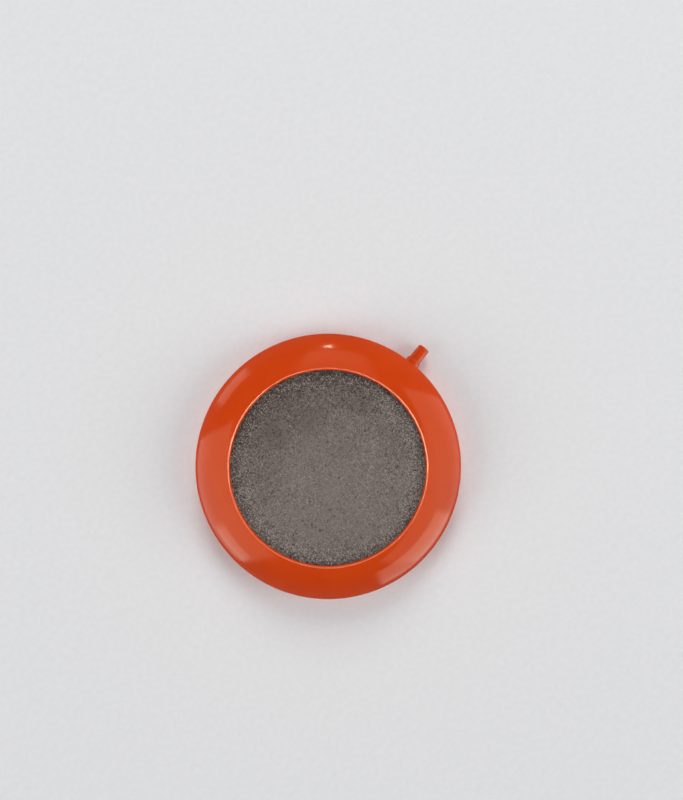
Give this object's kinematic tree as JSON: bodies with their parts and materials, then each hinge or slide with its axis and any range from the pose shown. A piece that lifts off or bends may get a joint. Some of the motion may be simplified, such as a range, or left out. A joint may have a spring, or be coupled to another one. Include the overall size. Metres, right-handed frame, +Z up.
{
  "type": "air stone",
  "caption": "Round air stone: a porous disc bonded into a plastic dish, with a domed ring over its edge and a side inlet for an air hose.",
  "frame": {"origin": "on the disc's axis, on the surface that the dish stands on", "axes": "+Z up along the disc's axis, +X along the air nipple towards its tip"},
  "size_m": [0.1079, 0.1, 0.018],
  "materials": {
    "orange_plastic": "gloss",
    "bonded_grain": "matte",
    "cured_adhesive": "satin"
  },
  "bodies": {
    "root": {"top_ring": "orange_plastic", "base_dish": "orange_plastic", "air_nipple": "orange_plastic", "porous_disc": "bonded_grain", "disc_adhesive": "cured_adhesive", "ring_adhesive": "cured_adhesive", "nipple_adhesive": "cured_adhesive"}
  },
  "joints": []
}
